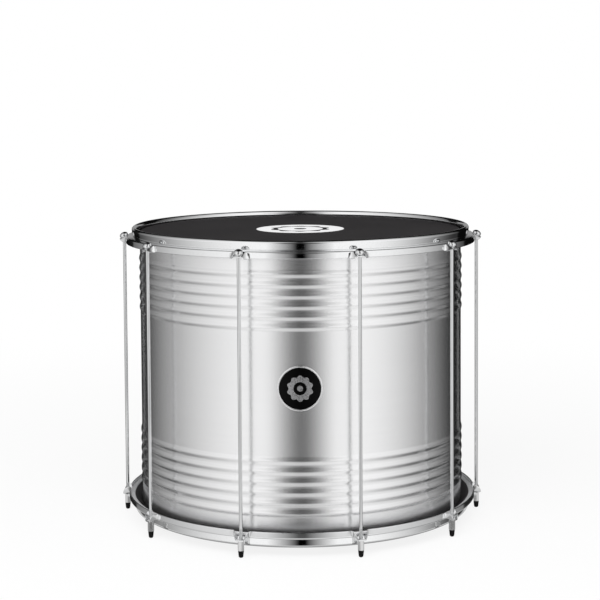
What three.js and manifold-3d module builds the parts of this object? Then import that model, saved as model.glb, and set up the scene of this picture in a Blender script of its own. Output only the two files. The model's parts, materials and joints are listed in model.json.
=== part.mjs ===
// Surdo: a two-headed bass drum with a rolled aluminium shell. Millimetres, +Z up.
// It stands on the rubber tips of its tension rods, at z = 0, and its front faces -Y.
// Angles round the drum start at the front and run towards +X.

import * as THREE from "three";
import { mergeVertices } from "three/addons/utils/BufferGeometryUtils.js";
import Module from "manifold-3d";

const wasm = await Module();
wasm.setup();

// Fits
const contact_gap = 0.3;
const sliding_gap = 0.3;
const cut_overrun = 5;
const weld_distance = 0.001;

// Tension rods: ten round the drum, midway between them at the front
const rod_count = 10;
const rod_r = 3.1;
const rod_stand_off = 5;
const rod_end_room = 1.5;
const rod_flats = 8;
const head_r = 8.1;
const head_rim_height = 2.4;
const head_height = 8;
const head_flats = 12;
const head_dome_angles = [20, 55].map(THREE.MathUtils.degToRad);

// Shell: rolled sheet with six beads at each end and curled bearing edges
const shell_r = 305;
const shell_wall = 1.5;
const shell_length = 514.6;
const edge_roll_r = 4;
const bead_count = 6;
const bead_pitch = 18.5;
const bead_rise = 2.4;
const bead_start = 38.6;

// Heads: a film drawn over the bearing edge and held by a flat flesh hoop
const film_thickness = 0.5;
const flesh_hoop_width = 8.8;
const flesh_hoop_height = 4;

// Counterhoops: pressed steel with a rolled rim, a collar, a flange and a skirt
const hoop_sheet = 2.4;
const collar_clearance = 15;
const collar_height = 18;
const flange_width = 11;
const skirt_depth = 9.1;
const rim_roll_r = 4.7;
const rim_above_film = 8.7;

// Ears: the skirt bent outwards at each rod, drooping under the rods' pull
const ear_half_width = 16.7;
const ear_overhang = 8.3;
const ear_hole_r = 3.9;
const ear_hole_flats = 12;
const top_ear_tilt = THREE.MathUtils.degToRad(26);
const bottom_ear_tilt = THREE.MathUtils.degToRad(-16);
const ear_station_shares = [0.34, 0.67, 1];
const ear_flat_share = 0.34;

// Nuts and the rubber tips under them
const nut_across_flats = 10;
const nut_length = 17.5;
const nut_bore_flats = 12;
const tip_height = 12;
const tip_top_r = 5.1;
const tip_low_r = 4.2;
const tip_foot_r = 2.8;
const tip_round = 1.6;
const tip_floor = 3;
const tip_flats = 12;

// Badge: a thin plate in a raised metal ring, both bent to the shell
const badge_r = 39.5;
const badge_ring_width = 3;
const badge_ring_height = 2;
const badge_plate_thickness = 1.2;
const badge_above_middle = 9.5;
const badge_flats = 28;
const badge_inner_share = 0.5;

// Radii that follow from the sizes above
const flats_between_rods = 4;
const ring_flats = rod_count * flats_between_rods;
const collar_r = shell_r + collar_clearance;
const skirt_r = collar_r + flange_width;
const skirt_inner_r = skirt_r - hoop_sheet;
const rod_circle_r = skirt_r + rod_stand_off;
const flesh_outer_r = skirt_inner_r - contact_gap;
const flesh_inner_r = flesh_outer_r - flesh_hoop_width;
const nut_corner_r = nut_across_flats / 2 / Math.cos(Math.PI / 6);
const bore_r = rod_r + sliding_gap;

// Radius and height where an ear's outer face leaves the flange, and its height further out
function ear_bend(tilt) {
  return { r: skirt_inner_r + hoop_sheet * Math.tan(tilt / 2), h: hoop_sheet };
}
function ear_face_height(tilt, r) {
  const bend = ear_bend(tilt);
  return bend.h - (r - bend.r) * Math.tan(tilt);
}

// Heights, stacked up from the ground: tip, nut, bottom hoop, shell, top hoop
const nut_bottom_z = tip_height + contact_gap;
const nut_top_z = nut_bottom_z + nut_length;
const nut_seat = ear_face_height(bottom_ear_tilt, rod_circle_r + nut_corner_r) + contact_gap;
const hoop_height = hoop_sheet + collar_height;
const film_rise = contact_gap + film_thickness;
const bottom_flange_z = nut_top_z + nut_seat;
const bottom_edge_z = bottom_flange_z - hoop_height + rim_above_film + film_rise;
const top_edge_z = bottom_edge_z + shell_length;
const top_flange_z = top_edge_z + film_rise + rim_above_film - hoop_height;
const flesh_drop = top_edge_z - top_flange_z + contact_gap;
const shell_middle_z = (bottom_edge_z + top_edge_z) / 2;
const rod_end_z = tip_floor + rod_end_room;
const head_seat_z = top_flange_z + ear_face_height(top_ear_tilt, rod_circle_r)
  + contact_gap / Math.cos(top_ear_tilt);

// Materials
function metal(color, roughness) {
  return new THREE.MeshStandardMaterial({ color, roughness, metalness: 1 });
}
function plastic(color, roughness) {
  return new THREE.MeshStandardMaterial({ color, roughness, metalness: 0 });
}
const finishes = {
  aluminium: () => metal(0xc9cacc, 0.35),
  chrome: () => metal(0xd9dbde, 0.08),
  flesh_hoop: () => metal(0xb4b6b8, 0.4),
  film: () => plastic(0x2b292b, 0.45),
  rubber: () => plastic(0x121212, 0.75),
  badge: () => plastic(0x0c0c0d, 0.3),
};

// A mesh is turned round the drum's axis by its angle
const drum = new THREE.Group();
function add_piece(name, geometry, finish, height = 0, angle = 0, radius = 0) {
  const piece = new THREE.Mesh(geometry, finishes[finish]());
  piece.name = name;
  piece.position.set(radius * Math.sin(angle), -radius * Math.cos(angle), height);
  piece.rotation.z = angle;
  drum.add(piece);
  return piece;
}

function rod_angle(index) {
  return ((index + 0.5) / rod_count) * 2 * Math.PI;
}

// A profile of [radius, height] points, anticlockwise, turned round the Z axis
function turned(profile, flats) {
  const points = profile.map(([r, h]) => new THREE.Vector2(r, h));
  const geometry = new THREE.LatheGeometry(points, flats);
  geometry.rotateX(Math.PI / 2);
  return geometry;
}

function closed(profile) {
  return [...profile, profile[0]];
}

// Points on an arc round [r, h], from one angle to another
function arc(r, h, radius, from, to, steps) {
  const points = [];
  for (let i = 0; i <= steps; i += 1) {
    const angle = from + ((to - from) * i) / steps;
    points.push([r + radius * Math.cos(angle), h + radius * Math.sin(angle)]);
  }
  return points;
}

// Welded copy of a geometry with positions and true triangles only
function welded(geometry) {
  const bare = geometry.clone();
  bare.deleteAttribute("normal");
  bare.deleteAttribute("uv");
  const merged = mergeVertices(bare, weld_distance);
  const index = merged.index.array;
  const kept = [];
  for (let i = 0; i < index.length; i += 3) {
    const [a, b, c] = [index[i], index[i + 1], index[i + 2]];
    if (a !== b && b !== c && c !== a) {
      kept.push(a, b, c);
    }
  }
  merged.setIndex(kept);
  return merged;
}

function to_solid(geometry) {
  const mesh = welded(geometry);
  return new wasm.Manifold(new wasm.Mesh({
    numProp: 3,
    vertProperties: new Float32Array(mesh.attributes.position.array),
    triVerts: new Uint32Array(mesh.index.array),
  }));
}

function to_geometry(solid) {
  const mesh = solid.getMesh();
  const geometry = new THREE.BufferGeometry();
  geometry.setAttribute("position", new THREE.BufferAttribute(mesh.vertProperties, 3));
  geometry.setIndex(new THREE.BufferAttribute(mesh.triVerts, 1));
  return geometry;
}

// Shell

function bead_line(r) {
  const line = [];
  for (let i = 0; i < bead_count; i += 1) {
    line.push([r, bead_start + i * bead_pitch]);
    line.push([r + bead_rise, bead_start + (i + 0.5) * bead_pitch]);
  }
  line.push([r, bead_start + bead_count * bead_pitch]);
  return line;
}

function flipped(line) {
  return line.map(([r, h]) => [r, shell_length - h]).reverse();
}

function shell_geometry() {
  const roll_r = shell_r - edge_roll_r;
  const inner_roll_r = edge_roll_r - shell_wall;
  const curl_end = Math.PI * 0.75;
  const outer_curl = arc(roll_r, shell_length - edge_roll_r, edge_roll_r, 0, curl_end, 3);
  const inner_curl = arc(roll_r, shell_length - edge_roll_r, inner_roll_r, curl_end, 0, 2);
  const outer_beads = bead_line(shell_r);
  const inner_beads = bead_line(shell_r - shell_wall);
  const profile = [
    ...outer_beads,
    ...flipped(outer_beads),
    ...outer_curl,
    ...inner_curl,
    ...flipped(inner_beads).reverse(),
    ...[...inner_beads].reverse(),
    ...flipped(inner_curl),
    ...flipped(outer_curl),
  ];
  return turned(closed(profile), ring_flats);
}

// Heads, drawn with the bearing edge at height 0 and the drum below it

function film_geometry() {
  const roll_r = shell_r - edge_roll_r;
  const under_r = edge_roll_r + contact_gap;
  const over_r = under_r + film_thickness;
  const [under_bend] = arc(roll_r, -edge_roll_r, under_r, Math.PI / 4, 0, 1);
  const [over_bend] = arc(roll_r, -edge_roll_r, over_r, Math.PI / 4, 0, 1);
  const end_r = flesh_inner_r - contact_gap;
  const end_h = -flesh_drop - flesh_hoop_height / 2;
  const profile = [
    [0, contact_gap],
    [roll_r, contact_gap],
    under_bend,
    [end_r, end_h - film_thickness],
    [end_r, end_h],
    over_bend,
    [roll_r, film_rise],
    [0, film_rise],
  ];
  return turned(profile, ring_flats);
}

function flesh_hoop_geometry() {
  const profile = [
    [flesh_inner_r, -flesh_drop - flesh_hoop_height],
    [flesh_outer_r, -flesh_drop - flesh_hoop_height],
    [flesh_outer_r, -flesh_drop],
    [flesh_inner_r, -flesh_drop],
  ];
  return turned(closed(profile), ring_flats);
}

// Counterhoops, drawn with the flange's under face at height 0 and the rim above it

// How far the ear has turned back into the plain skirt, from 0 at its middle to 1 at its side
function ear_fade(share) {
  const t = THREE.MathUtils.clamp((share - ear_flat_share) / (1 - ear_flat_share), 0, 1);
  return t * t * (3 - 2 * t);
}

function ear_length(tilt) {
  return (rod_circle_r - skirt_inner_r) / Math.cos(tilt) + ear_overhang;
}

function hoop_section(ear_tilt, share) {
  const fade = ear_fade(share);
  const tilt = THREE.MathUtils.lerp(ear_tilt, Math.PI / 2, fade);
  const length = THREE.MathUtils.lerp(ear_length(ear_tilt), skirt_depth, fade);
  const bend = ear_bend(tilt);
  const end = [skirt_inner_r + length * Math.cos(tilt), -length * Math.sin(tilt)];
  const outer_end = [end[0] + hoop_sheet * Math.sin(tilt), end[1] + hoop_sheet * Math.cos(tilt)];
  const rim_r = collar_r - rim_roll_r;
  const rim_h = hoop_height - rim_roll_r;
  const inner_roll_r = rim_roll_r - hoop_sheet;
  return [
    [collar_r - hoop_sheet, 0],
    [skirt_inner_r, 0],
    end,
    outer_end,
    [bend.r, bend.h],
    [collar_r, hoop_sheet],
    ...arc(rim_r, rim_h, rim_roll_r, 0, Math.PI, 4),
    ...arc(rim_r, rim_h, inner_roll_r, Math.PI, 0, 2),
  ];
}

// Stations round the hoop: each has its angle and its share of the way out of the nearest ear
function hoop_stations() {
  const stations = [];
  for (let rod = 0; rod < rod_count; rod += 1) {
    const middle = rod_angle(rod);
    for (const share of [...ear_station_shares].reverse()) {
      stations.push({ angle: middle - (share * ear_half_width) / skirt_r, share });
    }
    for (const share of ear_station_shares) {
      stations.push({ angle: middle + (share * ear_half_width) / skirt_r, share });
    }
    for (let flat = 1; flat < flats_between_rods; flat += 1) {
      stations.push({ angle: middle + (flat / ring_flats) * 2 * Math.PI, share: 1 });
    }
  }
  return stations;
}

function swept_ring(sections, angles) {
  const count = sections[0].length;
  const positions = [];
  const index = [];
  sections.forEach((section, k) => {
    for (const [r, h] of section) {
      positions.push(r * Math.sin(angles[k]), -r * Math.cos(angles[k]), h);
    }
    const here = k * count;
    const next = ((k + 1) % sections.length) * count;
    for (let i = 0; i < count; i += 1) {
      const j = (i + 1) % count;
      index.push(here + i, next + i, next + j);
      index.push(here + i, next + j, here + j);
    }
  });
  const geometry = new THREE.BufferGeometry();
  geometry.setAttribute("position", new THREE.Float32BufferAttribute(positions, 3));
  geometry.setIndex(index);
  return geometry;
}

function hole_cutter(angle) {
  const height = 2 * (hoop_height + cut_overrun);
  const cutter = new THREE.CylinderGeometry(ear_hole_r, ear_hole_r, height, ear_hole_flats);
  cutter.rotateX(Math.PI / 2);
  cutter.translate(rod_circle_r * Math.sin(angle), -rod_circle_r * Math.cos(angle), 0);
  return to_solid(cutter);
}

function hoop_geometry(ear_tilt) {
  const stations = hoop_stations();
  const sections = stations.map(({ share }) => hoop_section(ear_tilt, share));
  let hoop = to_solid(swept_ring(sections, stations.map(({ angle }) => angle)));
  for (let rod = 0; rod < rod_count; rod += 1) {
    hoop = hoop.subtract(hole_cutter(rod_angle(rod)));
  }
  return to_geometry(hoop);
}

// Tension rod round its own axis, with a domed head tilted to sit on the top ear

function rod_geometry() {
  const seat = head_seat_z - rod_end_z;
  const shank_top = seat + head_rim_height;
  const shank = turned([[0, 0], [rod_r, 0], [rod_r, shank_top], [0, shank_top]], rod_flats);
  const dome_height = head_height - head_rim_height;
  const dome = head_dome_angles.map((angle) => [
    head_r * Math.cos(angle),
    head_rim_height + dome_height * Math.sin(angle),
  ]);
  const head = turned([[0, 0], [head_r, 0], [head_r, head_rim_height], ...dome, [0, head_height]],
    head_flats);
  head.rotateX(top_ear_tilt);
  head.translate(0, 0, seat);
  return to_geometry(to_solid(shank).add(to_solid(head)));
}

// Nut with a through bore, and a rubber tip with a blind hollow for the rod's end

function regular_points(radius, sides) {
  const points = [];
  for (let i = 0; i < sides; i += 1) {
    const angle = ((i + 0.5) / sides) * 2 * Math.PI;
    points.push(new THREE.Vector2(radius * Math.cos(angle), radius * Math.sin(angle)));
  }
  return points;
}

function nut_geometry() {
  const outline = new THREE.Shape(regular_points(nut_corner_r, 6));
  const bore = bore_r / Math.cos(Math.PI / nut_bore_flats);
  outline.holes.push(new THREE.Path(regular_points(bore, nut_bore_flats)));
  return new THREE.ExtrudeGeometry(outline, { depth: nut_length, bevelEnabled: false });
}

function tip_geometry() {
  const hollow_r = bore_r / Math.cos(Math.PI / tip_flats);
  return turned([
    [0, 0],
    [tip_foot_r, 0],
    [tip_low_r, tip_round],
    [tip_top_r, tip_height],
    [hollow_r, tip_height],
    [hollow_r, tip_floor],
    [0, tip_floor],
  ], tip_flats);
}

// Badge pieces: a turned shape laid on the shell's curve, its axis pointing out of the front

function laid_on_shell(profile) {
  const points = profile.map(([r, h]) => new THREE.Vector2(r, h));
  const geometry = new THREE.LatheGeometry(points, badge_flats);
  const places = geometry.attributes.position;
  for (let i = 0; i < places.count; i += 1) {
    const angle = places.getX(i) / shell_r;
    const r = shell_r + contact_gap + places.getY(i);
    places.setXYZ(i, r * Math.sin(angle), -r * Math.cos(angle), -places.getZ(i));
  }
  return geometry;
}

function badge_plate_geometry() {
  const r = badge_r - badge_ring_width - contact_gap;
  return laid_on_shell([
    [0, 0],
    [r * badge_inner_share, 0],
    [r, 0],
    [r, badge_plate_thickness],
    [r * badge_inner_share, badge_plate_thickness],
    [0, badge_plate_thickness],
  ]);
}

function badge_ring_geometry() {
  const inner_r = badge_r - badge_ring_width;
  return laid_on_shell(closed([
    [inner_r, 0],
    [badge_r, 0],
    [badge_r, badge_ring_height / 2],
    [(inner_r + badge_r) / 2, badge_ring_height],
    [inner_r, badge_ring_height / 2],
  ]));
}

// Assembly

function turn_over(piece) {
  piece.rotation.x = Math.PI;
}

add_piece("shell", shell_geometry(), "aluminium", bottom_edge_z);
add_piece("top_head_film", film_geometry(), "film", top_edge_z);
add_piece("top_flesh_hoop", flesh_hoop_geometry(), "flesh_hoop", top_edge_z);
add_piece("top_counterhoop", hoop_geometry(top_ear_tilt), "chrome", top_flange_z);
turn_over(add_piece("bottom_head_film", film_geometry(), "film", bottom_edge_z));
turn_over(add_piece("bottom_flesh_hoop", flesh_hoop_geometry(), "flesh_hoop", bottom_edge_z));
turn_over(add_piece("bottom_counterhoop", hoop_geometry(bottom_ear_tilt), "chrome", bottom_flange_z));
add_piece("badge_plate", badge_plate_geometry(), "badge", shell_middle_z + badge_above_middle);
add_piece("badge_ring", badge_ring_geometry(), "chrome", shell_middle_z + badge_above_middle);

for (let rod = 0; rod < rod_count; rod += 1) {
  const angle = rod_angle(rod);
  const number = String(rod + 1).padStart(2, "0");
  add_piece(`tension_rod_${number}`, rod_geometry(), "chrome", rod_end_z, angle, rod_circle_r);
  add_piece(`hex_nut_${number}`, nut_geometry(), "chrome", nut_bottom_z, angle, rod_circle_r);
  add_piece(`rubber_tip_${number}`, tip_geometry(), "rubber", 0, angle, rod_circle_r);
}

export default drum;
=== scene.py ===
import json
import math

import bpy
from mathutils import Matrix, Vector


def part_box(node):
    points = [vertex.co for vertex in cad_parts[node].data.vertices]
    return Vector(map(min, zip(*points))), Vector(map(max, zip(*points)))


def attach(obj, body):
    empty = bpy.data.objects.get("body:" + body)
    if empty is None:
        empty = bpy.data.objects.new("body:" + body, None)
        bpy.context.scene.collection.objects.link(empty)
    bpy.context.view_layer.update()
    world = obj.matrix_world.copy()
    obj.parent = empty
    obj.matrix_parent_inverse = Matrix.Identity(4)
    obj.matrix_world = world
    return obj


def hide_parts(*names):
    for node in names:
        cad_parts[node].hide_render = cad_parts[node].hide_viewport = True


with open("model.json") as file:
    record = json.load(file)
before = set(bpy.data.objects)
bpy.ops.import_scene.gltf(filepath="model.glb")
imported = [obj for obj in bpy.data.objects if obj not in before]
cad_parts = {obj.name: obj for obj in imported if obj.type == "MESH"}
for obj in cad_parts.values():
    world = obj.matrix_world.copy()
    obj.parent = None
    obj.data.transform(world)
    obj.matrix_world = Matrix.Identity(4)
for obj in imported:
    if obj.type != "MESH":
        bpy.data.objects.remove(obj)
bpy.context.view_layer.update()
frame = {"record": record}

mm = 0.001

# The photograph's camera, which aims at a point given in pixels from the picture's top left corner
image_size = 600
camera_distance = 3020 * mm
camera_height = 824.5 * mm
camera_azimuth = math.radians(0.40)
camera_pitch = math.radians(3.61)
camera_roll = math.radians(-0.37)
camera_clip_start = 50 * mm
focal_length_px = 1587.8
aim_x_px = 299.9
aim_y_px = 180
sensor_width_mm = 36

# Shell
shell_r = 305 * mm
shell_wall = 1.5 * mm
edge_roll_r = 4 * mm
edge_curl_end = math.radians(135)
bead_count = 6
bead_pitch = 18.5 * mm
bead_rise = 1.8 * mm
bead_width = 16 * mm
top_bead_start = 40 * mm
bottom_bead_start = 37.2 * mm

# Heads and flesh hoops
film_thickness = 0.5 * mm
contact_gap = 0.3 * mm
film_ring_shares = (0.1, 0.2, 0.28, 0.4, 0.6, 0.8, 0.95)
flesh_hoop_width = 8.8 * mm
flesh_hoop_round = 0.9 * mm
print_r = 83.5 * mm

# Counterhoops
hoop_sheet = 2.4 * mm
collar_r = 320 * mm
collar_height = 18 * mm
flange_width = 11 * mm
skirt_depth = 9.1 * mm
rim_roll_r = 4.7 * mm
rim_lip_drop = 8.2 * mm
flange_rise = 2.1 * mm
collar_bend_r = 3.3 * mm
skirt_bend_r = 3.3 * mm
skirt_inner_bend_r = 0.6 * mm
sheet_edge_round = 0.7 * mm
bend_guard = 0.25 * mm

# Ears
rod_count = 10
top_ear_half_width = 19.5 * mm
bottom_ear_half_width = 16.7 * mm
ear_overhang = 8.3 * mm
ear_hole_r = 3.9 * mm
top_ear_tilt = math.radians(26)
bottom_ear_tilt = math.radians(-16)
ear_flat_share = 0.34

# Rods, nuts and tips
rod_r = 3.1 * mm
rod_stand_off = 5 * mm
thread_pitch = 1 * mm
thread_depth = 0.55 * mm
thread_top_z = 52 * mm
thread_taper = 1.5 * mm
head_r = 8.1 * mm
head_rim_height = 2.4 * mm
head_height = 8 * mm
head_edge_round = 0.5 * mm
nut_across_flats = 10 * mm
nut_bore_r = 3.4 * mm
nut_bore_chamfer = 0.4 * mm
nut_chamfer_start_share = 0.94
nut_chamfer_slope = math.tan(math.radians(30))
tip_top_r = 5.1 * mm
tip_low_r = 4.2 * mm
tip_round = 3.1 * mm
tip_floor = 3 * mm
tip_edge_round = 0.5 * mm

# Badge
badge_r = 39.5 * mm
badge_ring_width = 3 * mm
badge_ring_height = 2 * mm
badge_plate_thickness = 1.2 * mm
badge_plate_edge = 0.3 * mm
badge_bend_shares = (0.2, 0.4, 0.6, 0.8)

# Motifs on the top head and the badge: a ring with ten lobes round a dot
print_motif = {"outer_r": 58 * mm, "inner_r": 43 * mm, "dot_r": 12 * mm, "lobe_depth": 4 * mm}
badge_motif = {"outer_r": 23 * mm, "inner_r": 11.5 * mm, "dot_r": 5 * mm, "lobe_depth": 1.6 * mm}

# Steps of the round shapes
drum_segments = 240
bead_steps = 18
outer_curl_steps = 10
inner_curl_steps = 8
film_bend_steps = 8
flesh_corner_steps = 4
bend_steps = 5
lip_steps = 10
lip_end_steps = 6
ear_steps = 16
plain_steps = 20
ear_hole_segments = 32
thread_columns = 24
thread_rows_per_turn = 4
head_segments = 40
head_dome_steps = 18
nut_segments = 72
tip_segments = 48
tip_round_steps = 8
badge_segments = 96
badge_crown_steps = 12
sharp_angle = math.radians(30)

# Noise: its scales are per metre along X, Y and Z, and its spans are the values drawn out to 0 and 1
middle_span = (0.3, 0.7)
shell_fine_scale = (4, 4, 1400)
shell_broad_scale = (2.5, 2.5, 170)
shell_cloud_scale = (5, 5, 9)
plate_wave_scale = (28, 28, 28)
plate_wear_scale = (420, 420, 420)
plate_wear_roughness = 0.7
plate_tone_span = (0.45, 0.75)
plate_gloss_span = (0.4, 0.8)
mill_line_scale = (9, 9, 900)
film_grain_scale = (1100, 1100, 1100)
film_cloud_scale = (6, 6, 6)
ink_span = (0.2, 0.8)
rubber_grain_scale = (1500, 1500, 1500)
rubber_dust_scale = (180, 180, 180)
rubber_dust_roughness = 0.65
rubber_dust_span = (0.5, 0.8)
badge_wear_scale = (300, 300, 300)

# Colours, in linear red, green and blue
shell_dark = (0.91, 0.91, 0.915)
shell_light = (0.94, 0.94, 0.945)
hoop_colour = (0.90, 0.905, 0.91)
rod_colour = (0.79, 0.795, 0.80)
nut_colour = (0.80, 0.80, 0.80)
badge_ring_colour = (0.96, 0.96, 0.965)
mill_dark = (0.78, 0.78, 0.79)
mill_light = (0.86, 0.86, 0.87)
film_dark = (0.027, 0.0255, 0.0265)
film_light = (0.033, 0.031, 0.032)
ink_dark = (0.92, 0.92, 0.925)
ink_light = (0.95, 0.95, 0.955)
rubber_black = (0.002, 0.002, 0.002)
rubber_dusty = (0.006, 0.0058, 0.0056)
badge_black = (0.002, 0.002, 0.002)
badge_motif_dark = (0.62, 0.62, 0.63)
badge_motif_light = (0.70, 0.70, 0.71)
floor_colour = (0.9, 0.9, 0.9)
white = (1, 1, 1)

# Gloss, brushing and wear. A pair of roughnesses is for the noise's low and high values
shell_roughness = 0.27
shell_anisotropy_share = 0.7
shell_brush_turn_share = 0.25
hoop_roughness = 0.05
rod_roughness = 0.08
nut_roughness = 0.16
badge_ring_roughness = 0.22
mill_roughness = (0.34, 0.46)
mill_metal_share = 0.5
film_roughness = (0.50, 0.58)
film_sheen_share = 0.2
rubber_roughness = (0.52, 0.66)
rubber_sheen_share = 0.2
badge_roughness = (0.10, 0.16)
badge_motif_added_roughness = 0.16
badge_sheen_share = 0.1
shell_fine_share = 0.6
shell_cloud_share = 0.35
worn_colour_share = 0.93
worn_roughness_share = 1.8

# Depths of the fine relief
hoop_wave_depth = 0.05 * mm
rod_wave_depth = 0.01 * mm
nut_wave_depth = 0.01 * mm
badge_ring_wave_depth = 0.005 * mm
mill_line_depth = 0.03 * mm
film_grain_depth = 0.01 * mm
rubber_grain_depth = 0.03 * mm
badge_motif_depth = 0.04 * mm

# Floor and lamps, in metres and watts. A pair of radii bounds a change of level, where 1 is white
ambient_level = 0.55
floor_size = 60
floor_plain_r = 0.5
floor_white_r = 2.2
floor_near_white_share = 0.86
# To reflections the floor is a glow of fixed level: a painted shadow under the drum, and painted light for
# the lit floor near its feet
floor_painted_shadow_r = (0.330, 0.342)
floor_painted_shadow_level = 0.35
floor_near_r = (0.352, 0.366)
floor_reflected_glow_level = 0.62
key_lamp_place = (-1.6, -2.6, 3.0)
key_lamp_aim = (0, 0, 0.3)
key_lamp_size = 2.4
key_lamp_power = 62
head_lamp_place = (0.2, -1.3, 1.9)
head_lamp_aim = (0, -0.2, 0.5)
head_lamp_size = 1.2
head_lamp_power = 16

# Studio dome. A pair of degrees, round from the front or up from the horizon, bounds a change of level
dome_r = 8.0
dome_segments = 64
dome_rings = 32
low_card_edges = (0.0, 36.0)
low_card_levels = (0.55, 1.0)
low_card_top = (-26.0, -11.0)
valley_edges = (2.2, 22.5)
valley_level = 0.0
band_bottom = (0.0, 4.0)
band_edges = (9.0, 22.0)
band_level = 0.04
gap_bottom = (18.0, 22.0)
gap_top = (38.0, 44.0)
gap_edges = (1.0, 32.0)
gap_level = 0.0
high_valley_edges = (2.0, 26.0)
high_valley_level = 0.08
right_fade = (38.0, 128.0)
left_fade = (25.0, 150.0)
faded_level = 0.03
low_fade = (-30.0, -20.0)
low_fade_share = 1.2
high_fade = (-4.0, -2.5)
high_fade_share = 0.9
table_bottom = (-25.0, -21.0)
table_top = (-15.5, -13.5)
table_sides = (40.0, 140.0)
table_levels = (0.74, 0.30)
right_back_edges = (130.0, 134.0)
left_back_edges = (136.0, 140.0)
back_share = 0.1
strip_edges = (150.0, 160.0)
strip_bottom = (1.5, 4.5)
strip_top = (10.0, 15.0)
strip_level = 0.31
zenith_fade = (56.0, 72.0)
zenith_level = 0.05

# Sizes that follow from those above
collar_inner_r = collar_r - hoop_sheet
skirt_r = collar_r + flange_width
skirt_inner_r = skirt_r - hoop_sheet
rod_circle_r = skirt_r + rod_stand_off
hoop_height = hoop_sheet + collar_height
flesh_outer_r = skirt_inner_r - contact_gap
flesh_inner_r = flesh_outer_r - flesh_hoop_width

body_of_node = {
    node: body
    for body, nodes in frame["record"]["behaviour"]["bodies"].items()
    for node in nodes
}


# Mesh helpers

def rod_angle(index):
    """The front lies midway between two rods."""
    return (index + 0.5) / rod_count * math.tau


def polar(r, angle, z):
    """A point at an angle that starts at the front and runs towards +X."""
    return Vector((r * math.sin(angle), -r * math.cos(angle), z))


def arc(r, z, radius, start, end, steps):
    """Points on an arc round (r, z), from one angle to another."""
    return [
        (r + radius * math.cos(a), z + radius * math.sin(a))
        for a in (start + (end - start) * i / steps for i in range(steps + 1))
    ]


def rounded(corners, steps):
    """A closed outline of (r, z, radius) corners, each one rounded by that radius.

    A point just beyond each end of a bend keeps the flat beside it flat when the shading is smooth.
    """
    points = []
    count = len(corners)
    for i, (r, z, radius) in enumerate(corners):
        here = Vector((r, z))
        before = Vector(corners[i - 1][:2]) - here
        after = Vector(corners[(i + 1) % count][:2]) - here
        turn = math.pi - before.angle(after)
        reach = min(radius * math.tan(turn / 2), before.length / 2, after.length / 2)
        start = here + before.normalized() * reach
        end = here + after.normalized() * reach
        guarded = min(before.length, after.length) / 2 > reach + bend_guard
        if guarded:
            points.append(tuple(here + before.normalized() * (reach + bend_guard)))
        for step in range(steps + 1):
            t = step / steps
            points.append(tuple(start * (1 - t) ** 2 + here * (2 * t * (1 - t)) + end * t ** 2))
        if guarded:
            points.append(tuple(here + after.normalized() * (reach + bend_guard)))
    return points


def lathe(profile, segments):
    """Vertices and faces of (r, z) points turned round Z. An open profile starts and ends on the axis."""
    verts = []
    rings = []
    for r, z in profile:
        if r == 0:
            verts.append((0, 0, z))
            rings.append([len(verts) - 1] * segments)
            continue
        rings.append(list(range(len(verts), len(verts) + segments)))
        verts.extend(polar(r, math.tau * k / segments, z) for k in range(segments))
    if profile[0][0] != 0:
        rings.append(rings[0])
    faces = []
    for low, high in zip(rings, rings[1:]):
        for k in range(segments):
            n = (k + 1) % segments
            face = [low[k], low[n], high[n], high[k]]
            faces.append(list(dict.fromkeys(face)))
    return verts, faces


def swept(sections, angles):
    """Vertices and faces of closed (r, z) sections, one at each angle, joined in a ring."""
    verts = [polar(r, a, z) for section, a in zip(sections, angles) for r, z in section]
    count = len(sections[0])
    faces = []
    for k in range(len(sections)):
        here = k * count
        there = (k + 1) % len(sections) * count
        for i in range(count):
            j = (i + 1) % count
            faces.append([here + i, there + i, there + j, here + j])
    return verts, faces


def moved(shape, place):
    verts, faces = shape
    return [place @ Vector(v) for v in verts], faces


def joined(*shapes):
    verts = []
    faces = []
    for some_verts, some_faces in shapes:
        start = len(verts)
        verts.extend(some_verts)
        faces.extend([start + i for i in face] for face in some_faces)
    return verts, faces


def filled_mesh(name, shape):
    verts, faces = shape
    mesh = bpy.data.meshes.new(name)
    mesh.from_pydata([tuple(v) for v in verts], [], faces)
    return mesh


def dress(node, shape, material, place):
    """A fine mesh that stands for a CAD node and rides on the node's body."""
    mesh = filled_mesh(node + "_fine", shape)
    mesh.polygons.foreach_set("use_smooth", [True] * len(mesh.polygons))
    mesh.set_sharp_from_angle(angle=sharp_angle)
    mesh.materials.append(material)
    piece = bpy.data.objects.new(node + "_fine", mesh)
    bpy.context.scene.collection.objects.link(piece)
    piece.matrix_world = place
    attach(piece, body_of_node[node])
    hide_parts(node)
    return piece


def standing(r, angle, z):
    """Placement of a small part drawn at its own foot, turned to face outwards."""
    return Matrix.Translation(polar(r, angle, z)) @ Matrix.Rotation(angle, 4, "Z")


def raised(z):
    return Matrix.Translation((0, 0, z))


def turned_over(z):
    """Placement of a part drawn above height 0 that hangs below height z."""
    return raised(z) @ Matrix.Rotation(math.pi, 4, "X")


# Node helpers

def new_material(name):
    material = bpy.data.materials.new(name)
    material.use_nodes = True
    return material, material.node_tree, material.node_tree.nodes["Principled BSDF"]


def maths(tree, operation, a, b=0.0, c=0.0):
    """A Math node's output. Each operand is a number or another node's output."""
    node = tree.nodes.new("ShaderNodeMath")
    node.operation = operation
    for socket, value in zip(node.inputs, (a, b, c)):
        if isinstance(value, (int, float)):
            socket.default_value = value
        else:
            tree.links.new(value, socket)
    return node.outputs[0]


def times(tree, a, b):
    return maths(tree, "MULTIPLY", a, b)


def blend(tree, share, first, second):
    """The first value where the share is 0 and the second where it is 1."""
    rest = maths(tree, "SUBTRACT", 1.0, share)
    return maths(tree, "ADD", times(tree, first, rest), times(tree, second, share))


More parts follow.
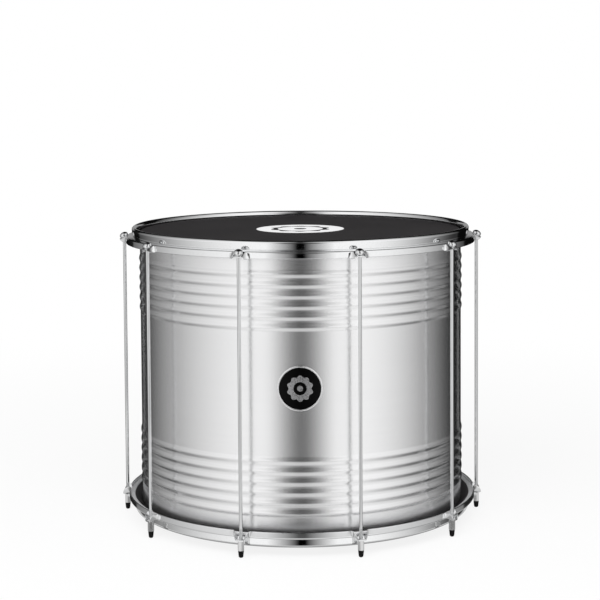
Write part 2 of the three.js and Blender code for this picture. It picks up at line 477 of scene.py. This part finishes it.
def ramp(tree, value, low, high, to_low=0.0, to_high=1.0, kind="SMOOTHSTEP"):
    """A Map Range node's output, held at its ends."""
    node = tree.nodes.new("ShaderNodeMapRange")
    node.interpolation_type = kind
    tree.links.new(value, node.inputs["Value"])
    node.inputs["From Min"].default_value = low
    node.inputs["From Max"].default_value = high
    node.inputs["To Min"].default_value = to_low
    node.inputs["To Max"].default_value = to_high
    return node.outputs["Result"]


def straight_ramp(tree, value, low, high, to_low, to_high):
    return ramp(tree, value, low, high, to_low, to_high, "LINEAR")


def mixed_colour(tree, share, first, second):
    node = tree.nodes.new("ShaderNodeMix")
    node.data_type = "RGBA"
    tree.links.new(share, node.inputs["Factor"])
    for socket, value in ((node.inputs["A"], first), (node.inputs["B"], second)):
        if isinstance(value, tuple):
            socket.default_value = (*value, 1)
        else:
            tree.links.new(value, socket)
    return node.outputs["Result"]


def mixed_shader(tree, share, first, second):
    mix = tree.nodes.new("ShaderNodeMixShader")
    tree.links.new(share, mix.inputs[0])
    tree.links.new(first, mix.inputs[1])
    tree.links.new(second, mix.inputs[2])
    return mix.outputs[0]


def object_place(tree):
    return tree.nodes.new("ShaderNodeTexCoord").outputs["Object"]


def separated(tree, place):
    """The X, Y and Z of a place."""
    axes = tree.nodes.new("ShaderNodeSeparateXYZ")
    tree.links.new(place, axes.inputs[0])
    return [axes.outputs[axis] for axis in "XYZ"]


def noise(tree, place, scale, detail, roughness=0.5):
    """Noise from 0 to 1. A scale of three numbers, per metre, stretches it."""
    mapping = tree.nodes.new("ShaderNodeMapping")
    mapping.inputs["Scale"].default_value = scale
    tree.links.new(place, mapping.inputs["Vector"])
    node = tree.nodes.new("ShaderNodeTexNoise")
    node.inputs["Scale"].default_value = 1
    node.inputs["Detail"].default_value = detail
    node.inputs["Roughness"].default_value = roughness
    tree.links.new(mapping.outputs["Vector"], node.inputs["Vector"])
    return node.outputs["Fac"]


def bump(tree, shader, height, depth):
    node = tree.nodes.new("ShaderNodeBump")
    node.inputs["Strength"].default_value = 1
    node.inputs["Distance"].default_value = depth
    tree.links.new(height, node.inputs["Height"])
    tree.links.new(node.outputs["Normal"], shader.inputs["Normal"])


def ring_motif(tree, across, up, outer_r, inner_r, dot_r, lobe_depth):
    """1 on a lobed ring and on the dot at its middle, 0 elsewhere, and the distance from the middle."""
    squares = maths(tree, "ADD", maths(tree, "POWER", across, 2.0), maths(tree, "POWER", up, 2.0))
    distance = maths(tree, "SQRT", squares)
    angle = maths(tree, "ARCTAN2", across, up)
    lobes = maths(tree, "COSINE", times(tree, angle, rod_count))
    edge = maths(tree, "MULTIPLY_ADD", lobes, lobe_depth, outer_r - lobe_depth)
    ring = times(tree, maths(tree, "LESS_THAN", distance, edge),
                 maths(tree, "GREATER_THAN", distance, inner_r))
    return maths(tree, "MAXIMUM", ring, maths(tree, "LESS_THAN", distance, dot_r)), distance


# Materials

def brushed_aluminium():
    """Satin sheet brushed round the drum: highlights spread up and down, not round."""
    material, tree, shader = new_material("shell_aluminium")
    place = object_place(tree)
    fine = noise(tree, place, shell_fine_scale, detail=2)
    broad = noise(tree, place, shell_broad_scale, detail=4)
    cloud = noise(tree, place, shell_cloud_scale, detail=2)
    streaks = maths(tree, "MULTIPLY_ADD", fine, shell_fine_share, times(tree, broad, 1 - shell_fine_share))
    rest = times(tree, streaks, 1 - shell_cloud_share)
    tone = maths(tree, "MULTIPLY_ADD", cloud, shell_cloud_share, rest)
    colour = mixed_colour(tree, ramp(tree, tone, *middle_span), shell_dark, shell_light)
    tree.links.new(colour, shader.inputs["Base Color"])
    shader.inputs["Roughness"].default_value = shell_roughness
    shader.inputs["Metallic"].default_value = 1
    shader.inputs["Anisotropic"].default_value = shell_anisotropy_share
    shader.inputs["Anisotropic Rotation"].default_value = shell_brush_turn_share
    tangent = tree.nodes.new("ShaderNodeTangent")
    tangent.direction_type = "RADIAL"
    tangent.axis = "Z"
    tree.links.new(tangent.outputs["Tangent"], shader.inputs["Tangent"])
    return material


def plated_steel(name, colour, roughness, wave_depth):
    """Bright plate with a faint waviness and fine wear in its gloss."""
    material, tree, shader = new_material(name)
    place = object_place(tree)
    waves = noise(tree, place, plate_wave_scale, detail=1)
    wear = noise(tree, place, plate_wear_scale, detail=4, roughness=plate_wear_roughness)
    worn = tuple(worn_colour_share * c for c in colour)
    tone = mixed_colour(tree, ramp(tree, wear, *plate_tone_span), colour, worn)
    gloss = ramp(tree, wear, *plate_gloss_span, roughness, roughness * worn_roughness_share)
    tree.links.new(tone, shader.inputs["Base Color"])
    tree.links.new(gloss, shader.inputs["Roughness"])
    shader.inputs["Metallic"].default_value = 1
    bump(tree, shader, waves, wave_depth)
    return material


def mill_aluminium():
    """The flesh hoops' drawn section, with faint lines along it."""
    material, tree, shader = new_material("flesh_hoop_aluminium")
    lines = noise(tree, object_place(tree), mill_line_scale, detail=3)
    colour = mixed_colour(tree, ramp(tree, lines, *middle_span), mill_dark, mill_light)
    tree.links.new(colour, shader.inputs["Base Color"])
    tree.links.new(ramp(tree, lines, *middle_span, *mill_roughness), shader.inputs["Roughness"])
    shader.inputs["Metallic"].default_value = mill_metal_share
    bump(tree, shader, lines, mill_line_depth)
    return material


def printed_disc(tree, place, grain, black):
    """The film's colour with a pale disc and its dark motif at the middle."""
    x, y, _ = separated(tree, place)
    motif, distance = ring_motif(tree, x, y, **print_motif)
    ink = mixed_colour(tree, ramp(tree, grain, *ink_span), ink_dark, ink_light)
    inside = mixed_colour(tree, motif, ink, black)
    return mixed_colour(tree, maths(tree, "LESS_THAN", distance, print_r), black, inside)


def drum_film(printed):
    """Satin black polyester film. The top head has a print at its middle."""
    material, tree, shader = new_material("head_film_printed" if printed else "head_film_plain")
    place = object_place(tree)
    grain = noise(tree, place, film_grain_scale, detail=3)
    cloud = noise(tree, place, film_cloud_scale, detail=3)
    black = mixed_colour(tree, ramp(tree, cloud, *middle_span), film_dark, film_light)
    colour = printed_disc(tree, place, grain, black) if printed else black
    tree.links.new(colour, shader.inputs["Base Color"])
    tree.links.new(ramp(tree, grain, *middle_span, *film_roughness), shader.inputs["Roughness"])
    shader.inputs["Specular IOR Level"].default_value = film_sheen_share
    bump(tree, shader, grain, film_grain_depth)
    return material


def moulded_rubber():
    """Matt black rubber with a little dust on it."""
    material, tree, shader = new_material("tip_rubber")
    place = object_place(tree)
    grain = noise(tree, place, rubber_grain_scale, detail=3)
    dust = noise(tree, place, rubber_dust_scale, detail=4, roughness=rubber_dust_roughness)
    colour = mixed_colour(tree, ramp(tree, dust, *rubber_dust_span), rubber_black, rubber_dusty)
    tree.links.new(colour, shader.inputs["Base Color"])
    tree.links.new(ramp(tree, grain, *middle_span, *rubber_roughness), shader.inputs["Roughness"])
    shader.inputs["Specular IOR Level"].default_value = rubber_sheen_share
    bump(tree, shader, grain, rubber_grain_depth)
    return material


def badge_face():
    """Gloss black plate with a bright metal motif, drawn across and up the plate."""
    material, tree, shader = new_material("badge_face")
    place = object_place(tree)
    x, _, z = separated(tree, place)
    motif, _ = ring_motif(tree, x, z, **badge_motif)
    wear = noise(tree, place, badge_wear_scale, detail=3)
    bright = mixed_colour(tree, ramp(tree, wear, *middle_span), badge_motif_dark, badge_motif_light)
    gloss = ramp(tree, wear, *middle_span, *badge_roughness)
    roughness = maths(tree, "MULTIPLY_ADD", motif, badge_motif_added_roughness, gloss)
    tree.links.new(mixed_colour(tree, motif, badge_black, bright), shader.inputs["Base Color"])
    tree.links.new(motif, shader.inputs["Metallic"])
    tree.links.new(roughness, shader.inputs["Roughness"])
    shader.inputs["Specular IOR Level"].default_value = badge_sheen_share
    bump(tree, shader, motif, badge_motif_depth)
    return material


# Shell

def bead_line(r, start):
    """The line of one group of beads, with a narrow flat between each two."""
    line = []
    for bead in range(bead_count):
        foot = start + bead * bead_pitch + (bead_pitch - bead_width) / 2
        for step in range(bead_steps + 1):
            share = step / bead_steps
            swell = (1 - math.cos(math.tau * share)) / 2
            line.append((r + bead_rise * swell, foot + share * bead_width))
    return line


def shell_shape(length):
    """The sheet's closed outline, outside and inside, with both edges curled inwards."""
    def flipped(line):
        return [(r, length - h) for r, h in reversed(line)]

    roll_r = shell_r - edge_roll_r
    roll_z = length - edge_roll_r
    inner_r = shell_r - shell_wall
    outer_curl = arc(roll_r, roll_z, edge_roll_r, 0, edge_curl_end, outer_curl_steps)
    inner_curl = arc(roll_r, roll_z, edge_roll_r - shell_wall, edge_curl_end, 0, inner_curl_steps)
    outer_line = bead_line(shell_r, bottom_bead_start) + flipped(bead_line(shell_r, top_bead_start))
    inner_line = bead_line(inner_r, bottom_bead_start) + flipped(bead_line(inner_r, top_bead_start))
    profile = (
        outer_line
        + outer_curl
        + inner_curl
        + inner_line[::-1]
        + flipped(inner_curl)
        + flipped(outer_curl)
    )
    return lathe(profile, drum_segments)


# Heads and flesh hoops

def film_shape(flesh_drop, flesh_height):
    """The bearing edge is at height 0, and the film hangs from it to the flesh hoop's middle."""
    roll_r = shell_r - edge_roll_r
    under_r = edge_roll_r + contact_gap
    over_r = under_r + film_thickness
    end_r = flesh_inner_r - contact_gap
    end_z = -flesh_drop - flesh_height / 2
    bend_end = math.atan2(end_r - roll_r, -end_z) / 2
    flat = [share * roll_r for share in film_ring_shares]
    under_bend = arc(roll_r, -edge_roll_r, under_r, math.pi / 2, bend_end, film_bend_steps)
    over_bend = arc(roll_r, -edge_roll_r, over_r, bend_end, math.pi / 2, film_bend_steps)
    profile = (
        [(r, contact_gap) for r in [0] + flat]
        + under_bend
        + [(end_r, end_z - film_thickness), (end_r, end_z)]
        + over_bend
        + [(r, contact_gap + film_thickness) for r in flat[::-1] + [0]]
    )
    return lathe(profile, drum_segments)


def flesh_hoop_shape(flesh_drop, flesh_height):
    low = -flesh_drop - flesh_height
    section = rounded([
        (flesh_inner_r, low, flesh_hoop_round),
        (flesh_outer_r, low, flesh_hoop_round),
        (flesh_outer_r, -flesh_drop, flesh_hoop_round),
        (flesh_inner_r, -flesh_drop, flesh_hoop_round),
    ], flesh_corner_steps)
    return lathe(section, drum_segments)


# Counterhoops

def hoop_sheet_line(ear_tilt, fade):
    """Flange and skirt, up to the collar's foot. A fade of 0 makes the skirt an ear, and 1 a plain skirt."""
    ear_length = (rod_circle_r - skirt_inner_r) / math.cos(ear_tilt) + ear_overhang
    tilt = ear_tilt + (math.pi / 2 - ear_tilt) * fade
    length = ear_length + (skirt_depth - ear_length) * fade
    end = Vector((skirt_inner_r + length * math.cos(tilt), -length * math.sin(tilt)))
    outer_end = end + Vector((math.sin(tilt), math.cos(tilt))) * hoop_sheet
    bend_r = skirt_inner_r + hoop_sheet * math.tan(tilt / 2)
    return rounded([
        (collar_inner_r, flange_rise, collar_bend_r + hoop_sheet),
        (skirt_inner_r, 0, skirt_inner_bend_r),
        (end.x, end.y, sheet_edge_round),
        (outer_end.x, outer_end.y, sheet_edge_round),
        (bend_r, hoop_sheet, skirt_bend_r),
        (collar_r, hoop_sheet + flange_rise, collar_bend_r),
    ], bend_steps)


def hoop_rim_line():
    """The rolled rim on the collar, with its lip turned down inside."""
    rim_r = collar_r - rim_roll_r
    rim_z = hoop_height - rim_roll_r
    lip_z = hoop_height - rim_lip_drop
    hollow_r = rim_roll_r - hoop_sheet
    lip_end_r = hoop_sheet / 2
    quarter = [math.pi / 2 * step / lip_steps for step in range(lip_steps + 1)]
    outside = arc(rim_r, rim_z, rim_roll_r, 0, math.pi / 2, lip_steps)[:-1]
    lip_outside = [
        (rim_r - rim_roll_r * math.sin(a), lip_z + rim_lip_drop * math.cos(a)) for a in quarter
    ]
    lip_end = arc(rim_r - rim_roll_r + lip_end_r, lip_z, lip_end_r, math.pi, math.tau, lip_end_steps)[1:-1]
    lip_inside = [
        (rim_r - hollow_r * math.sin(a), lip_z + (rim_lip_drop - hoop_sheet) * math.cos(a))
        for a in reversed(quarter)
    ]
    inside = arc(rim_r, rim_z, hollow_r, math.pi / 2, 0, lip_steps)[1:]
    return [(collar_r, rim_z - bend_guard)] + outside + lip_outside + lip_end + lip_inside + inside


def hoop_section(ear_tilt, share):
    """Section at a share of the way from an ear's middle to its side, with the flange's face at 0."""
    t = min(max((share - ear_flat_share) / (1 - ear_flat_share), 0), 1)
    return hoop_sheet_line(ear_tilt, t * t * (3 - 2 * t)) + hoop_rim_line()


def hoop_shape(ear_tilt, ear_half_width):
    sections = []
    angles = []
    ear_reach = ear_half_width / skirt_r
    gap = math.tau / rod_count - 2 * ear_reach
    for rod in range(rod_count):
        middle = rod_angle(rod)
        for step in range(-ear_steps, ear_steps + 1):
            share = step / ear_steps
            sections.append(hoop_section(ear_tilt, abs(share)))
            angles.append(middle + share * ear_reach)
        for step in range(1, plain_steps):
            sections.append(hoop_section(ear_tilt, 1))
            angles.append(middle + ear_reach + gap * step / plain_steps)
    return swept(sections, angles)


def cut_ear_holes(hoop):
    """A round hole for the rod through each ear."""
    drill = lathe([
        (0, -hoop_height),
        (ear_hole_r, -hoop_height),
        (ear_hole_r, hoop_height),
        (0, hoop_height),
    ], ear_hole_segments)
    places = [Matrix.Translation(polar(rod_circle_r, rod_angle(rod), 0)) for rod in range(rod_count)]
    drills = joined(*(moved(drill, place) for place in places))
    cutter = bpy.data.objects.new("ear_holes", filled_mesh("ear_holes", drills))
    bpy.context.scene.collection.objects.link(cutter)
    cutter.matrix_world = hoop.matrix_world
    modifier = hoop.modifiers.new("holes", "BOOLEAN")
    modifier.operation = "DIFFERENCE"
    modifier.solver = "EXACT"
    modifier.object = cutter
    bpy.context.view_layer.update()
    cut = bpy.data.meshes.new_from_object(hoop.evaluated_get(bpy.context.evaluated_depsgraph_get()))
    hoop.modifiers.clear()
    hoop.data = cut
    cut.set_sharp_from_angle(angle=sharp_angle)
    bpy.data.objects.remove(cutter)


# Rods, nuts and tips

def thread_r(z, turn_share, thread_length):
    """Radius on the thread, which starts with a chamfer at the rod's end and runs out into the shank."""
    turn = z / thread_pitch - turn_share
    depth = thread_depth * abs(2 * (turn - math.floor(turn)) - 1)
    start = min(1, z / thread_taper)
    end = min(1, (thread_length - z) / thread_taper)
    return rod_r - depth * start * end - thread_depth * (1 - start)


def rod_shank(length, thread_length):
    """A plain shank with a helical thread on its lower end."""
    rows = round(thread_length / thread_pitch * thread_rows_per_turn)
    shares = [column / thread_columns for column in range(thread_columns)]
    verts = [(0, 0, 0)]
    for row in range(rows + 1):
        z = thread_length * row / rows
        verts.extend(polar(thread_r(z, share, thread_length), math.tau * share, z) for share in shares)
    verts.extend(polar(rod_r, math.tau * share, length) for share in shares)
    verts.append((0, 0, length))
    top = len(verts) - 1
    faces = []
    for low in range(1, top - thread_columns, thread_columns):
        for k in range(thread_columns):
            n = (k + 1) % thread_columns
            faces.append([low + k, low + n, low + n + thread_columns, low + k + thread_columns])
    for k in range(thread_columns):
        n = (k + 1) % thread_columns
        faces.append([0, 1 + n, 1 + k])
        faces.append([top, top - thread_columns + k, top - thread_columns + n])
    return verts, faces


def rod_head(seat):
    """A domed head with a short upright rim, tilted to lie on the ear."""
    dome_height = head_height - head_rim_height
    dome_angles = [math.pi / 2 * step / head_dome_steps for step in range(1, head_dome_steps)]
    profile = (
        [(0, 0)]
        + [(head_r - head_edge_round, 0), (head_r, head_edge_round), (head_r, head_rim_height)]
        + [(head_r * math.cos(a), head_rim_height + dome_height * math.sin(a)) for a in dome_angles]
        + [(0, head_height)]
    )
    return moved(lathe(profile, head_segments), raised(seat) @ Matrix.Rotation(top_ear_tilt, 4, "X"))


def nut_section(angle, length):
    """The hexagon's outline at an angle: up the outside, in over the top and down the bore."""
    apothem = nut_across_flats / 2
    flat_r = apothem * nut_chamfer_start_share
    bore_edge_r = nut_bore_r + nut_bore_chamfer
    sixth = math.tau / 6
    r = apothem / math.cos((angle + sixth / 2) % sixth - sixth / 2)
    drop = (r - flat_r) * nut_chamfer_slope
    return [
        (flat_r, 0),
        (r, drop),
        (r, length - drop),
        (flat_r, length),
        (bore_edge_r, length),
        (nut_bore_r, length - nut_bore_chamfer),
        (nut_bore_r, nut_bore_chamfer),
        (bore_edge_r, 0),
    ]


def nut_shape(length):
    """A long hexagon nut, chamfered at both ends, with a plain bore."""
    angles = [math.tau * k / nut_segments for k in range(nut_segments)]
    return swept([nut_section(angle, length) for angle in angles], angles)


def tip_shape(height):
    """A tapering cap with a rounded foot and a blind hollow for the rod's end."""
    foot = arc(tip_low_r - tip_round, tip_round, tip_round, -math.pi / 2, 0, tip_round_steps)
    profile = (
        [(0, 0)]
        + foot
        + [(tip_top_r, height - tip_edge_round), (tip_top_r - tip_edge_round, height)]
        + [(nut_bore_r + tip_edge_round, height), (nut_bore_r, height - tip_edge_round)]
        + [(nut_bore_r, tip_floor), (0, tip_floor)]
    )
    return lathe(profile, tip_segments)


# Badge

def laid_on_shell(profile):
    """A turned shape bent to the shell's curve, with its own axis pointing out of the front."""
    verts, faces = lathe(profile, badge_segments)
    bent = []
    for x, y, h in verts:
        angle = x / shell_r
        r = shell_r + contact_gap + h
        bent.append((r * math.sin(angle), -r * math.cos(angle), y))
    return bent, faces


def badge_plate_shape():
    r = badge_r - badge_ring_width - contact_gap
    steps = [share * r for share in badge_bend_shares]
    profile = (
        [(step, 0) for step in [0] + steps + [r]]
        + [(r, badge_plate_thickness - badge_plate_edge), (r - badge_plate_edge, badge_plate_thickness)]
        + [(step, badge_plate_thickness) for step in steps[::-1] + [0]]
    )
    return laid_on_shell(profile)


def badge_ring_shape():
    half = badge_ring_width / 2
    middle_r = badge_r - half
    crown = arc(middle_r, badge_ring_height - half, half, 0, math.pi, badge_crown_steps)
    return laid_on_shell([(middle_r - half, 0), (middle_r + half, 0)] + crown)


# The drum

def build_shell():
    low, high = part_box("shell")
    dress("shell", shell_shape(high.z - low.z), brushed_aluminium(), raised(low.z))
    return low.z, high.z


def build_end(end, edge_z, ear_tilt, ear_half_width, film, mill, chrome):
    """One head with its flesh hoop and counterhoop. The bottom end is the top one turned over."""
    hoop_low, hoop_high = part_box(end + "_counterhoop")
    flesh_low, flesh_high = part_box(end + "_flesh_hoop")
    flesh_height = flesh_high.z - flesh_low.z
    top = end == "top"
    flesh_drop = edge_z - flesh_high.z if top else flesh_low.z - edge_z
    flange_z = hoop_high.z - hoop_height if top else hoop_low.z + hoop_height
    placed = raised if top else turned_over
    dress(end + "_head_film", film_shape(flesh_drop, flesh_height), film, placed(edge_z))
    dress(end + "_flesh_hoop", flesh_hoop_shape(flesh_drop, flesh_height), mill,
          placed(edge_z))
    hoop = dress(end + "_counterhoop", hoop_shape(ear_tilt, ear_half_width), chrome,
                 placed(flange_z))
    cut_ear_holes(hoop)


def rod_seat_height():
    """Height at which the rods' heads lie on the top ears' outer faces."""
    top_flange_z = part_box("top_counterhoop")[1].z - hoop_height
    bend_r = skirt_inner_r + hoop_sheet * math.tan(top_ear_tilt / 2)
    face_height = hoop_sheet - (rod_circle_r - bend_r) * math.tan(top_ear_tilt)
    return top_flange_z + face_height + contact_gap / math.cos(top_ear_tilt)


def build_fastener(index, seat_z, chrome, steel, rubber):
    """A tension rod on its ears, with the nut and the rubber tip on its lower end."""
    number = f"{index + 1:02d}"
    angle = rod_angle(index)
    rod, nut, tip = (kind + number for kind in ("tension_rod_", "hex_nut_", "rubber_tip_"))
    rod_low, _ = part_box(rod)
    nut_low, nut_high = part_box(nut)
    tip_low, tip_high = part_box(tip)
    seat = seat_z - rod_low.z
    shank = rod_shank(seat + head_rim_height, thread_top_z - rod_low.z)
    dress(rod, joined(shank, rod_head(seat)), chrome,
          standing(rod_circle_r, angle, rod_low.z))
    dress(nut, nut_shape(nut_high.z - nut_low.z), steel,
          standing(rod_circle_r, angle, nut_low.z))
    dress(tip, tip_shape(tip_high.z - tip_low.z), rubber,
          standing(rod_circle_r, angle, tip_low.z))


def build_badge():
    chrome = plated_steel("badge_chrome", badge_ring_colour, badge_ring_roughness, badge_ring_wave_depth)
    low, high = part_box("badge_ring")
    at_badge = raised((low.z + high.z) / 2)
    dress("badge_plate", badge_plate_shape(), badge_face(), at_badge)
    dress("badge_ring", badge_ring_shape(), chrome, at_badge)


def build_drum():
    hoop_chrome = plated_steel("hoop_chrome", hoop_colour, hoop_roughness, hoop_wave_depth)
    rod_chrome = plated_steel("rod_chrome", rod_colour, rod_roughness, rod_wave_depth)
    nut_steel = plated_steel("nut_steel", nut_colour, nut_roughness, nut_wave_depth)
    mill = mill_aluminium()
    rubber = moulded_rubber()
    shell_low, shell_high = build_shell()
    build_end("top", shell_high, top_ear_tilt, top_ear_half_width, drum_film(printed=True), mill,
              hoop_chrome)
    build_end("bottom", shell_low, bottom_ear_tilt, bottom_ear_half_width, drum_film(printed=False), mill,
              hoop_chrome)
    build_badge()
    seat_z = rod_seat_height()
    for index in range(rod_count):
        build_fastener(index, seat_z, rod_chrome, nut_steel, rubber)


# Studio: a white world, a dome of dark cards that only reflections see, a pale floor and soft lamps

def light_path_share(tree, *kinds):
    """1 for rays of any of these kinds, 0 for the others."""
    path = tree.nodes.new("ShaderNodeLightPath")
    share = path.outputs[kinds[0]]
    for kind in kinds[1:]:
        share = maths(tree, "MAXIMUM", share, path.outputs[kind])
    return share


def white_world():
    """White to the camera and in reflections, and dimmer as the light that falls on the drum."""
    world = bpy.data.worlds.new("studio")
    bpy.context.scene.world = world
    world.use_nodes = True
    tree = world.node_tree
    background = tree.nodes["Background"]
    background.inputs["Color"].default_value = (*white, 1)
    seen = light_path_share(tree, "Is Camera Ray", "Is Glossy Ray", "Is Transmission Ray")
    strength = straight_ramp(tree, seen, 0, 1, ambient_level, 1.0)
    tree.links.new(strength, background.inputs["Strength"])


def dome_front(tree, off_front, height):
    """Clearness of the dome's front: cards at several heights, darkest in front of the drum's middle."""
    low_card = straight_ramp(tree, off_front, *low_card_edges, *low_card_levels)
    valley = straight_ramp(tree, off_front, *valley_edges, valley_level, 1.0)
    band = ramp(tree, off_front, *band_edges, band_level, 1.0)
    gap = straight_ramp(tree, off_front, *gap_edges, gap_level, 1.0)
    high_valley = straight_ramp(tree, off_front, *high_valley_edges, high_valley_level, 1.0)
    low = blend(tree, ramp(tree, height, *low_card_top), low_card, valley)
    middle = blend(tree, ramp(tree, height, *band_bottom), low, band)
    high = blend(tree, ramp(tree, height, *gap_top), gap, high_valley)
    return blend(tree, ramp(tree, height, *gap_bottom), middle, high)


def dome_sides(tree, side, off_front, height):
    """Clearness round the dome: it fades to the back, with a table low down and a pale strip behind."""
    left_side = times(tree, side, -1.0)
    fade_share = times(tree, ramp(tree, height, *low_fade, low_fade_share, 1.0),
                       ramp(tree, height, *high_fade, 1.0, high_fade_share))
    right = ramp(tree, times(tree, side, fade_share), *right_fade, 1.0, faded_level)
    left = ramp(tree, times(tree, left_side, fade_share), *left_fade, 1.0, faded_level)
    table_share = times(tree, ramp(tree, height, *table_bottom), ramp(tree, height, *table_top, 1.0, 0.0))
    table = ramp(tree, off_front, *table_sides, *table_levels)
    sides = blend(tree, table_share, times(tree, right, left), table)
    behind = maths(tree, "MINIMUM", ramp(tree, side, *right_back_edges, 1.0, back_share),
                   ramp(tree, left_side, *left_back_edges, 1.0, back_share))
    strip = times(tree, ramp(tree, height, *strip_bottom, 0.0, strip_level),
                  ramp(tree, height, *strip_top, 1.0, 0.0))
    strip = times(tree, strip, ramp(tree, off_front, *strip_edges))
    return maths(tree, "MAXIMUM", times(tree, sides, behind), strip)


def dome_material():
    """Clear where the studio is bright and dark elsewhere, by the direction from the drum's foot."""
    material = bpy.data.materials.new("studio_dome")
    material.use_nodes = True
    tree = material.node_tree
    tree.nodes.clear()
    x, y, z = separated(tree, object_place(tree))
    side = maths(tree, "DEGREES", maths(tree, "ARCTAN2", x, times(tree, y, -1.0)))
    off_front = maths(tree, "ABSOLUTE", maths(tree, "SUBTRACT", side, math.degrees(camera_azimuth)))
    height = maths(tree, "DEGREES", maths(tree, "ARCSINE", maths(tree, "DIVIDE", z, dome_r)))
    around = times(tree, dome_front(tree, off_front, height), dome_sides(tree, side, off_front, height))
    above = ramp(tree, height, *zenith_fade, 1.0, zenith_level)
    clear = tree.nodes.new("ShaderNodeBsdfTransparent")
    tree.links.new(times(tree, around, above), clear.inputs["Color"])
    output = tree.nodes.new("ShaderNodeOutputMaterial")
    tree.links.new(clear.outputs[0], output.inputs["Surface"])
    return material


def studio_dome():
    bpy.ops.mesh.primitive_uv_sphere_add(segments=dome_segments, ring_count=dome_rings, radius=dome_r)
    dome = bpy.context.object
    dome.name = "studio_dome"
    dome.visible_camera = False
    dome.visible_diffuse = False
    dome.visible_transmission = False
    dome.visible_shadow = False
    dome.data.materials.append(dome_material())


def floor_material():
    """Pale and shadowed round the drum and white further off. To reflections it is a glow near the drum's
    feet, painted light for the lit floor with a painted shadow under the drum, and clear beyond.
    """
    material, tree, shader = new_material("studio_floor")
    shader.inputs["Base Color"].default_value = (*floor_colour, 1)
    shader.inputs["Roughness"].default_value = 1
    shader.inputs["Specular IOR Level"].default_value = 0
    glow = tree.nodes.new("ShaderNodeEmission")
    reflected_glow = tree.nodes.new("ShaderNodeEmission")
    clear = tree.nodes.new("ShaderNodeBsdfTransparent")
    length = tree.nodes.new("ShaderNodeVectorMath")
    length.operation = "LENGTH"
    tree.links.new(object_place(tree), length.inputs[0])
    distance = length.outputs["Value"]
    white_share = ramp(tree, distance, floor_plain_r, floor_white_r, floor_near_white_share, 1.0)
    seen_share = times(tree, light_path_share(tree, "Is Camera Ray"), white_share)
    # Painted shadow under the drum and painted light near its feet, both seen only in reflections
    painted_shadow_and_glow = ramp(tree, distance, *floor_painted_shadow_r, floor_painted_shadow_level, floor_reflected_glow_level)
    tree.links.new(painted_shadow_and_glow, reflected_glow.inputs["Strength"])
    beyond = mixed_shader(tree, ramp(tree, distance, *floor_near_r), reflected_glow.outputs[0], clear.outputs[0])
    lit = mixed_shader(tree, seen_share, shader.outputs[0], glow.outputs[0])
    surface = mixed_shader(tree, light_path_share(tree, "Is Glossy Ray"), lit, beyond)
    tree.links.new(surface, tree.nodes["Material Output"].inputs["Surface"])
    return material


def pale_floor():
    bpy.ops.mesh.primitive_plane_add(size=floor_size)
    floor = bpy.context.object
    floor.name = "studio_floor"
    floor.data.materials.append(floor_material())


def soft_lamp(name, place, aim, size, power):
    """A round lamp that lights the drum and isn't seen in its reflections."""
    data = bpy.data.lights.new(name, "AREA")
    data.shape = "DISK"
    data.size = size
    data.energy = power
    lamp = bpy.data.objects.new(name, data)
    bpy.context.scene.collection.objects.link(lamp)
    lamp.location = place
    lamp.rotation_euler = (Vector(aim) - Vector(place)).to_track_quat("-Z", "Y").to_euler()
    lamp.visible_glossy = False


def photo_camera():
    data = bpy.data.cameras.new("camera")
    data.sensor_fit = "HORIZONTAL"
    data.sensor_width = sensor_width_mm
    data.lens = focal_length_px / image_size * sensor_width_mm
    data.shift_x = (image_size / 2 - aim_x_px) / image_size
    data.shift_y = -(image_size / 2 - aim_y_px) / image_size
    data.clip_start = camera_clip_start
    camera = bpy.data.objects.new("camera", data)
    bpy.context.scene.collection.objects.link(camera)
    camera.location = polar(camera_distance, camera_azimuth, camera_height)
    turn = (
        Matrix.Rotation(camera_azimuth, 3, "Z")
        @ Matrix.Rotation(math.pi / 2 - camera_pitch, 3, "X")
        @ Matrix.Rotation(camera_roll, 3, "Z")
    )
    camera.rotation_euler = turn.to_euler()
    bpy.context.scene.camera = camera


build_drum()
photo_camera()
white_world()
studio_dome()
pale_floor()
soft_lamp("key", key_lamp_place, key_lamp_aim, key_lamp_size, key_lamp_power)
soft_lamp("head_light", head_lamp_place, head_lamp_aim, head_lamp_size, head_lamp_power)
bpy.context.scene.view_settings.view_transform = "Standard"
